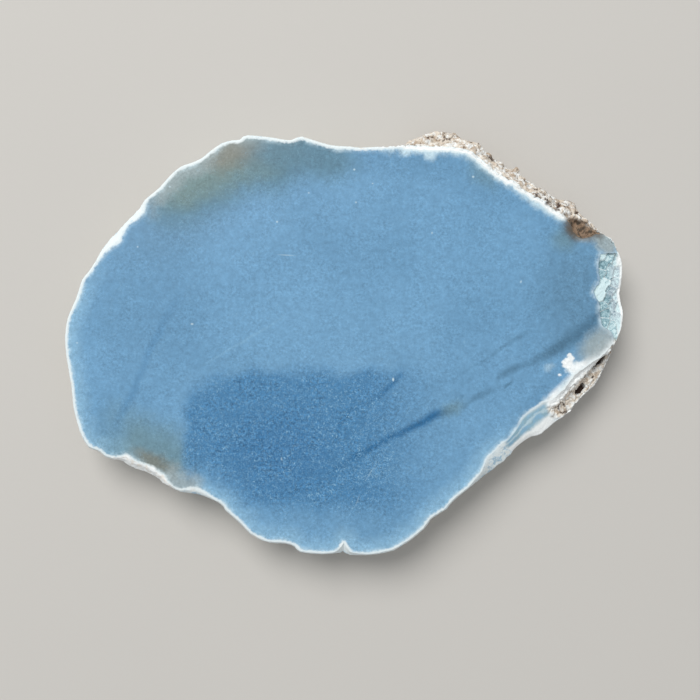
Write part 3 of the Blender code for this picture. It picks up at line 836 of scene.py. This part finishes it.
def polished_finish(colours):
    """The polished face: blue with clouds, stains, veins, grain and bright crystals."""
    f = Finish("polished_angelite")
    inside = f.attribute("inside")
    rust = f.attribute("rust")
    loose = f.wander(6.0, 5.0)
    calm = f.wander(3.0, 0.9)
    crumbly = f.wander(1.0, 1.3)
    frayed = inside + (f.noise(1.4, 4.0, 0.7) - 0.5) * 3.0

    blue = f.blotch(colours.blue, colours.slate_blue, f.noise(11.0, 3.0), 0.38, 0.68, 0.5)
    blue = f.spots(blue, colours, CLOUDS, loose)

    across, up = f.parts(loose)
    # Painted light: a pale glow along the lower and left edges, for light that passes through the
    # thinner stone there
    thin_side = f.step(up + across * 0.35, 2.0, -14.0)
    painted_edge_glow = f.step(frayed, 4.0, 0.2) * thin_side
    blue = f.mix(blue, colours.pale_blue, painted_edge_glow * 0.75)
    for centre, radii, turn, core, share, name, far, near in EDGE_STAINS:
        stain = f.patch(centre, radii, turn, core, loose) * f.step(frayed, far, near)
        blue = f.mix(blue, getattr(colours, name), stain * share)

    # Painted shade: the deep zone is where the face reflects no sheen. It ends sharply on its left
    # and softly elsewhere
    left = f.parts(f.wander(2.5, 3.0))[0]
    deep = f.step(left, -29.8, -27.4) * f.patch(*PAINTED_SHADE_ZONE, loose)
    deep = deep * f.step(across, 20.0, 1.0) * f.step(up, -34.0, -27.0) * f.step(up, -3.6, -7.0)
    deep = deep * f.step(frayed, 0.0, 6.5)
    blue = f.mix(blue, colours.vein_and_shade_blue, deep * 0.9)
    blue = f.mix(blue, colours.darkest_shade_blue, f.patch(*DARKEST_PAINTED_SHADE, loose) * 0.6)

    for name, line in VEINS:
        blue = f.mix(blue, getattr(colours, name), f.vein(line, calm))
    milky = f.attribute("crust") * (1.0 - rust) * f.step(frayed, 1.8, -0.2)
    blue = f.mix(blue, colours.pale_white, milky * 0.8)
    # Painted light: a faint pale glow in patches just inside the face's edge
    painted_inner_glow = f.step(inside, 1.1, 0.1) * f.step(f.noise(2.6, 3.0, 0.6), 0.4, 0.6)
    blue = f.mix(blue, colours.pale_white, painted_inner_glow * 0.5)
    blue = f.mix(blue, colours.fresh_white, f.attribute("ledge") * f.step(frayed, 3.4, 0.8) * 0.95)
    blue = f.spots(blue, colours, SPOTS, crumbly)

    # Grain and flecks show more strongly in the deep zone's painted shade, where no sheen veils them
    grain = f.noise(0.5, 3.0, 0.75)
    mottle = f.noise(1.3, 3.0, 0.6)
    patchy = 0.5 + f.step(f.noise(4.0, 3.0, 0.6), 0.36, 0.62) * 0.8
    blue = f.scale(blue, 1.0 + (grain - 0.5) * (0.9 + deep * 1.2) * patchy + (mottle - 0.5) * 0.5)
    strokes = f.step(f.noise(0.45, 2.0, 0.6, 1.5), 0.56, 0.74)
    strokes = strokes * f.step(f.noise(2.6, 3.0), 0.38, 0.62)
    blue = f.mix(blue, colours.fleck, strokes * (0.3 + deep * 0.7))
    curly = deep * 0.45 + f.patch(*FLECK_SWIRL, calm) * 0.5
    blue = f.blotch(blue, colours.fleck, f.noise(0.5, 3.0, 0.65, 2.5), 0.5, 0.68, curly)
    for centre, radii, turn, share in SPECKS:
        blue = f.mix(blue, colours.pale_white, f.patch(centre, radii, turn, 0.1) * share)

    blue = f.mix(blue, colours.umber, rust * f.step(frayed, 1.6, 0.0) * 0.8)
    # The white line along the face's edge: partly the bruised rim's own white, partly painted glow
    # of light passing through the thin edge
    rim_line_and_glow = f.step(inside + (f.noise(0.7, 3.0, 0.6) - 0.5) * 0.7, 0.5, 0.05)
    shown = (1.0 - rust) * (1.0 - f.attribute("bevel") * 0.5)
    shown = shown * (1.0 - f.attribute("plates") * 0.8) * (1.0 - f.patch(*GLASSY_END) * 0.8)
    blue = f.mix(blue, colours.rim_white_and_glow, rim_line_and_glow * shown * 0.85)

    scuffs = f.noise(0.9, 4.0, 0.7)
    roughness = 0.2 + scuffs * 0.1 + f.step(inside, 1.2, 0.0) * 0.15
    return f.finish(blue, roughness, f.bump(f.noise(0.5, 3.0, 0.6), 0.004))


def rind_finish(colours):
    """The natural skin and the broken edge: white rim, sandy crust, fracture plates and rust."""
    f = Finish("natural_rind")
    inside = f.attribute("inside")
    ring = f.attribute("ring")
    crust = f.attribute("crust")
    rust = f.attribute("rust")
    plates = f.attribute("plates")
    ledge = f.attribute("ledge")
    bevel = f.attribute("bevel")
    on_shelf = f.step(ring, RIM_RING + 0.8, RIM_RING)

    # The rim's white is partly its own bruised white, partly painted glow of light passing through
    # the thin edge
    rim = f.blotch(colours.rim_white_and_glow, colours.pale_blue, f.noise(1.1, 4.0, 0.7), 0.54, 0.72, 0.5)
    rim = f.blotch(rim, colours.sand_pale, f.noise(1.7, 3.0, 0.6), 0.58, 0.72, 0.5)
    wide = f.step(inside, -0.5, -1.0) * f.step(f.noise(0.9, 4.0, 0.65, 1.0), 0.46, 0.6)
    rim = f.mix(rim, colours.pale_blue, wide * (1.0 - f.attribute("bruise")) * 0.75)

    grain = f.noise(0.75, 3.0, 0.7)
    lumps = f.noise(1.8, 3.0, 0.6)
    sand = f.blotch(colours.sand_pale, colours.sand_tan, lumps, 0.38, 0.62)
    sand = f.blotch(sand, colours.sand_brown, grain, 0.55, 0.64, 0.85)
    sand = f.blotch(sand, colours.fresh_white, f.noise(1.2, 4.0, 0.7), 0.46, 0.6, 0.85)

    skin_noise = f.noise(3.4, 4.0, 0.55)
    skin = f.blotch(colours.rind_white, colours.rind_blue, skin_noise, 0.5, 0.72, 0.8)
    skin = f.blotch(skin, colours.sand_pale, f.noise(5.0, 3.0), 0.46, 0.66, 0.75)
    skin = f.blotch(skin, colours.sand_tan, f.noise(1.3, 4.0, 0.65), 0.58, 0.76, 0.6)

    over_rim = f.step(ring, RIM_RING + 0.6, RIM_RING + 2.6)
    colour = f.mix(rim, skin, over_rim)
    # Near white on the lower crust: partly its own chalky white, partly painted light that offsets
    # the shade on this downward-facing wall
    crumbs = f.noise(1.0, 3.0, 0.6)
    painted_light_lower_crust = f.blotch(colours.fresh_white, colours.sand_pale, crumbs, 0.5, 0.62, 0.5)
    above = f.step(ring, RIM_RING + 3.0, RIM_RING + 1.0)
    colour = f.mix(colour, painted_light_lower_crust, f.attribute("lower_crust") * above)

    sandy = crust * f.step(inside, -0.5, -0.95)
    colour = f.mix(colour, sand, f.step(sandy, 0.2, 0.7))
    colour = f.mix(colour, sand, f.step(ledge, 0.2, 0.9) * over_rim * 0.5)
    edge_line = f.step(inside, -0.8, -0.3) * f.step(ring, RIM_RING, 0.0)
    colour = f.mix(colour, colours.fresh_white, edge_line * crust)

    net = f.noise(0.55, 4.0, 0.75, 1.2) + (f.attribute("pale") - 0.5) * 0.35
    broken = f.mix(colours.fracture_teal, colours.fracture_lilac, f.step(inside, -1.6, -2.8))
    broken = f.blotch(broken, colours.fracture_dark, net, 0.46, 0.34, 0.8)
    broken = f.blotch(broken, colours.fracture_pale, net, 0.48, 0.62)
    broken = f.mix(broken, colours.fresh_white, f.step(f.attribute("crack"), 0.35, 0.9) * 0.7)
    broken = f.mix(broken, colours.fresh_white, f.step(ring, RIM_RING - 1.2, RIM_RING - 0.4))
    colour = f.mix(colour, broken, plates * on_shelf)

    floor = f.blotch(colours.sand_pale, colours.sand_tan, f.noise(0.8, 4.0, 0.7), 0.46, 0.62)
    floor = f.blotch(floor, colours.sand_brown, f.noise(0.7, 3.0, 0.6), 0.58, 0.7, 0.6)
    floor = f.blotch(floor, colours.fresh_white, f.noise(1.1, 3.0, 0.6), 0.46, 0.6, 0.75)
    lip = f.step(ring + f.noise(1.0, 3.0, 0.7) * 2.0, 2.0, 3.4)
    floor = f.mix(colours.fresh_white, floor, lip)
    floor = f.mix(floor, colours.fresh_white, f.step(ring, RIM_RING - 0.9, RIM_RING - 0.3) * 0.8)
    colour = f.mix(colour, floor, ledge * on_shelf)
    # Dark brown in the deep pits and in some crevices: partly the crust's own dark colour, partly
    # painted shade in the hollows
    colour = f.mix(colour, colours.pit_brown, f.step(f.attribute("pit"), 0.1, 0.8))

    glass = f.blotch(colours.bevel_blue, colours.pale_blue, f.noise(1.6, 3.0, 0.6), 0.45, 0.65)
    glass = f.mix(glass, colours.fresh_white, f.step(ring + f.noise(1.2, 3.0, 0.6), 3.2, 4.4))
    streak = f.step(abs(ring + f.noise(1.6, 3.0, 0.6) * 2.0 - 2.8), 0.6, 0.0)
    glass = f.mix(glass, colours.pale_white, f.step(ring, 0.5, 0.1) * 0.8 + streak * 0.8)
    colour = f.mix(colour, glass, bevel * (1.0 - ledge) * on_shelf)

    glassy = f.patch(*GLASSY_END)
    outer = f.step(ring, RIM_RING - 2.3, RIM_RING - 1.3) * (1.0 - rust)
    colour = f.mix(colour, colours.pale_grey, glassy * on_shelf * 0.85)
    colour = f.mix(colour, colours.fresh_white, f.patch(*GLASSY_RIM) * outer * 0.9)

    iron = f.blotch(colours.rust_brown, colours.umber, f.noise(0.9, 3.0), 0.42, 0.6)
    iron = f.blotch(iron, colours.pit_brown, f.noise(1.4, 3.0, 0.7), 0.54, 0.68)
    iron = f.blotch(iron, colours.sand_tan, grain, 0.6, 0.72, 0.5)
    colour = f.mix(colour, iron, rust * f.step(ring, 5.0, 3.6))
    colour = f.scale(colour, 0.9 + f.noise(0.25, 2.0, 0.6) * 0.2)

    glossy = bevel * f.step(ring, 4.5, 3.0)
    roughness = 0.78 - glossy * 0.5 - plates * 0.3
    height = f.noise(0.3, 4.0, 0.7) * 0.12 + f.noise(0.9, 3.0, 0.6) * 0.15
    return f.finish(colour, roughness, f.bump(height * (1.0 - glossy), 0.6))


def sawn_finish(colours):
    """The sawn back: matt blue with curved saw marks, paler scuffs and stained edges."""
    f = Finish("sawn_angelite")
    inside = f.attribute("inside")
    clouds = f.noise(9.0, 4.0, 0.55)
    colour = f.blotch(colours.bevel_blue, colours.grey_blue, clouds, 0.35, 0.7, 0.8)
    colour = f.blotch(colour, colours.rind_white, f.noise(2.5, 4.0, 0.6), 0.52, 0.75, 0.35)
    colour = f.blotch(colour, colours.sand_pale, f.noise(6.0, 3.0), 0.6, 0.75, 0.4)
    values = {"Vector": f.place, "Location": SAW_CENTRE}
    centred = f.node("ShaderNodeMapping", {"vector_type": "TEXTURE"}, values)
    settings = {"wave_type": "RINGS", "rings_direction": "Z", "wave_profile": "SAW"}
    values = {"Vector": centred, "Scale": 0.28, "Distortion": 0.6}
    rings = f.node("ShaderNodeTexWave", settings, values, "Fac")
    colour = f.scale(colour, 0.95 + rings * 0.07)
    frayed = abs(inside) + (f.noise(2.2, 4.0, 0.7) - 0.5) * 5.0
    colour = f.mix(colour, colours.rind_white, f.step(frayed, 3.0, 0.8) * 0.6)
    height = rings * 0.6 + f.noise(0.5, 4.0, 0.7) * 0.5
    return f.finish(colour, 0.6 + clouds * 0.1, f.bump(height, 0.05))


def floor_finish(studio):
    """The studio floor: plain, pale and matt."""
    f = Finish("studio_floor")
    tone = f.noise(60.0, 2.0, 0.4)
    colour = f.mix(studio.floor_colour, (0.97, 0.97, 0.97, 1.0), tone, "MULTIPLY")
    return f.finish(colour, 0.85, f.bump(f.noise(1.0, 2.0), 0.01))


def length(name, description, default, least, most):
    """A size in metres, shown in the user's units."""
    return FloatProperty(
        name=name, description=description, default=default, min=least, max=most,
        subtype="DISTANCE", unit="LENGTH", precision=5,
    )


def tint(name, description, default):
    """A colour with its opacity."""
    return FloatVectorProperty(
        name=name, description=description, default=default, min=0.0, max=1.0,
        size=4, subtype="COLOR",
    )


def power(name, description, default):
    """The strength of a light."""
    return FloatProperty(name=name, description=description, default=default, min=0.0)


class StoneShape(bpy.types.PropertyGroup):
    """How finely the stone is modelled."""

    plain_facet: length("Plain Facet", "Longest edge on the plain rim", 0.00024, 0.0001, 0.002)
    rough_facet: length("Rough Facet", "Longest edge on crust and ledge", 0.00016, 0.0001, 0.002)
    wall_facet: length("Wall Facet", "Longest edge on the side walls", 0.00042, 0.0002, 0.003)
    face_grid: length("Face Grid", "Spacing of the grid on the polished face", 0.001, 0.0005, 0.01)


class StoneColours(bpy.types.PropertyGroup):
    """The stone's colours."""

    blue: tint("Blue", "The polished face", srgb(112, 161, 198))
    light_blue: tint("Light Blue", "Lighter clouds in the face", srgb(120, 168, 204))
    slate_blue: tint("Slate Blue", "Darker clouds in the face", srgb(100, 148, 184))
    grey_blue: tint("Grey Blue", "The fractured end's side of the face", srgb(96, 139, 170))
    # Deep blue also colours a vein; with darkest blue it paints the shade where the face reflects no
    # sheen
    vein_and_shade_blue: tint("Deep Blue", "The deep zone of the face", srgb(62, 121, 167))
    darkest_shade_blue: tint("Darkest Blue", "The middle of the deep zone", srgb(54, 112, 160))
    # Pale blue also paints the glow of light through the face's thin edges
    pale_blue: tint("Pale Blue", "The thin, bright edges of the face", srgb(146, 190, 218))
    bevel_blue: tint("Bevel Blue", "The chipped, glassy bevel", srgb(150, 186, 202))
    vein_blue: tint("Vein Blue", "Dark veins", srgb(32, 98, 146))
    smoke: tint("Smoke", "Smoky streaks near the fractured end", srgb(78, 119, 148))
    teal: tint("Teal", "Stain along the top edge", srgb(88, 128, 148))
    teal_grey: tint("Teal Grey", "Outer part of the edge stains", srgb(88, 129, 148))
    green_grey: tint("Green Grey", "Middle of the edge stains", srgb(108, 136, 138))
    tan_grey: tint("Tan Grey", "Warm core of the edge stains", srgb(124, 124, 112))
    pale_grey: tint("Pale Grey", "Milky part of the edge stains", srgb(156, 171, 175))
    umber: tint("Umber", "Dark iron stain", srgb(84, 74, 62))
    fleck: tint("Fleck", "Light crystals in the face", srgb(150, 196, 224))
    # Rim white is partly the bruised rim's own white, partly painted glow of light through the thin
    # edge
    rim_white_and_glow: tint("Rim White", "The bruised rim", srgb(236, 246, 248))
    fresh_white: tint("Fresh White", "Fresh chips and cracks", srgb(250, 254, 254))
    pale_white: tint("Pale White", "Milky spots inside the edge", srgb(204, 228, 238))
    rind_white: tint("Rind White", "The chalky skin", srgb(214, 214, 206))
    rind_blue: tint("Rind Blue", "Blue stone showing in the skin", srgb(150, 178, 196))
    sand_pale: tint("Pale Sand", "Cream grains of the crust", srgb(230, 220, 206))
    sand_tan: tint("Tan Sand", "Tan grains of the crust", srgb(188, 170, 150))
    sand_brown: tint("Brown Sand", "Dark grains of the crust", srgb(116, 96, 80))
    rust_brown: tint("Rust Brown", "Iron stain in the pocket", srgb(146, 122, 100))
    # Pit brown is partly painted shade where it fills pits and crevices
    pit_brown: tint("Pit Brown", "Deep pits", srgb(72, 54, 44))
    fracture_teal: tint("Fracture Teal", "Shards of the fractured end", srgb(150, 186, 196))
    fracture_dark: tint("Fracture Dark", "Gaps between the shards", srgb(92, 132, 144))
    fracture_lilac: tint("Fracture Lilac", "Outer strip of the fractured end", srgb(176, 192, 202))
    fracture_pale: tint("Fracture Pale", "Pale plates of the fractured end", srgb(218, 242, 246))


class StudioSettings(bpy.types.PropertyGroup):
    """The camera, the floor and the light."""

    camera_height: length("Camera Height", "From the face up to the camera", 0.175, 0.05, 2.0)
    aim_x: length("Aim X", "Where the camera looks, along the slab", 0.00103, -0.1, 0.1)
    aim_y: length("Aim Y", "Where the camera looks, across the slab", -0.00158, -0.1, 0.1)
    floor_size: length("Floor Size", "Side of the studio floor", 12.0, 0.5, 50.0)
    floor_colour: tint("Floor Colour", "The plain pale floor", srgb(206, 203, 198))
    sky_strength: power("Sky Strength", "Light from all round", 0.43)
    key_power: power("Key Power", "Watts of the large soft light", 11.0)


class ANGELITE_OT_stone(bpy.types.Operator):
    """Build the stone with its polished face, natural rind and sawn back"""

    bl_idname = "angelite.stone"
    bl_label = "Stone"

    def execute(self, context):
        colours = context.scene.angelite_colours
        finishes = [polished_finish(colours), rind_finish(colours), sawn_finish(colours)]
        stone_piece(context.scene.angelite_shape, finishes)
        return {"FINISHED"}


class ANGELITE_OT_studio(bpy.types.Operator):
    """Set up the floor, the soft light and the camera"""

    bl_idname = "angelite.studio"
    bl_label = "Studio"

    def execute(self, context):
        studio = context.scene.angelite_studio
        add_floor(studio)
        add_light(studio)
        add_camera(studio)
        return {"FINISHED"}


def add_floor(studio):
    """A wide plain floor that the slab rests on."""
    bm = bmesh.new()
    bmesh.ops.create_grid(bm, x_segments=4, y_segments=4, size=studio.floor_size / 2)
    bmesh.ops.translate(bm, verts=bm.verts, vec=(0.0, 0.0, CAD_BOX[0].z - FLOOR_GAP * MM))
    mesh = bpy.data.meshes.new("studio_floor")
    bm.to_mesh(mesh)
    bm.free()
    mesh.materials.append(floor_finish(studio))
    floor = bpy.data.objects.new("studio_floor", mesh)
    bpy.context.scene.collection.objects.link(floor)


def add_light(studio):
    """Even light from all round and one large soft light from beyond the sandy rind."""
    world = bpy.data.worlds.new("studio_sky")
    world.use_nodes = True
    background = world.node_tree.nodes["Background"]
    background.inputs["Color"].default_value = SKY_COLOUR
    background.inputs["Strength"].default_value = studio.sky_strength
    bpy.context.scene.world = world
    data = bpy.data.lights.new("key_light", "AREA")
    data.shape = "DISK"
    data.size = KEY_SIZE
    data.energy = studio.key_power
    data.color = KEY_COLOUR
    light = bpy.data.objects.new("key_light", data)
    light.location = KEY_PLACE
    light.rotation_mode = "QUATERNION"
    light.rotation_quaternion = (-KEY_PLACE).to_track_quat("-Z", "Y")
    bpy.context.scene.collection.objects.link(light)


def add_camera(studio):
    """The camera, straight above the slab."""
    data = bpy.data.cameras.new("camera")
    data.lens = 50.0
    data.sensor_width = 36.0
    data.clip_start = 0.01
    data.clip_end = 10.0
    camera = bpy.data.objects.new("camera", data)
    camera.location = (studio.aim_x, studio.aim_y, CAD_BOX[1].z + studio.camera_height)
    bpy.context.scene.collection.objects.link(camera)
    bpy.context.scene.camera = camera
    bpy.context.scene.view_settings.view_transform = "Standard"


class VIEW3D_PT_angelite(bpy.types.Panel):
    """Sidebar panel for the slab"""

    bl_label = "Angelite Slab"
    bl_idname = "VIEW3D_PT_angelite"
    bl_space_type = "VIEW_3D"
    bl_region_type = "UI"
    bl_category = "Angelite"

    def draw(self, context):
        layout = self.layout
        scene = context.scene
        groups = (
            ("Shape", scene.angelite_shape),
            ("Colours", scene.angelite_colours),
            ("Studio", scene.angelite_studio),
        )
        for title, group in groups:
            box = layout.box()
            box.label(text=title)
            for name in group.__annotations__:
                box.prop(group, name)
        layout.operator("angelite.stone")
        layout.operator("angelite.studio")


CLASSES = (
    StoneShape, StoneColours, StudioSettings,
    ANGELITE_OT_stone, ANGELITE_OT_studio, VIEW3D_PT_angelite,
)


def register():
    """Adds the classes and the scene's settings."""
    for item in CLASSES:
        bpy.utils.register_class(item)
    bpy.types.Scene.angelite_shape = PointerProperty(type=StoneShape)
    bpy.types.Scene.angelite_colours = PointerProperty(type=StoneColours)
    bpy.types.Scene.angelite_studio = PointerProperty(type=StudioSettings)


def unregister():
    """Takes the settings and the classes out again."""
    del bpy.types.Scene.angelite_studio
    del bpy.types.Scene.angelite_colours
    del bpy.types.Scene.angelite_shape
    for item in reversed(CLASSES):
        bpy.utils.unregister_class(item)


def main():
    """Builds everything."""
    register()
    bpy.ops.angelite.stone()
    bpy.ops.angelite.studio()


if __name__ == "__main__":
    main()
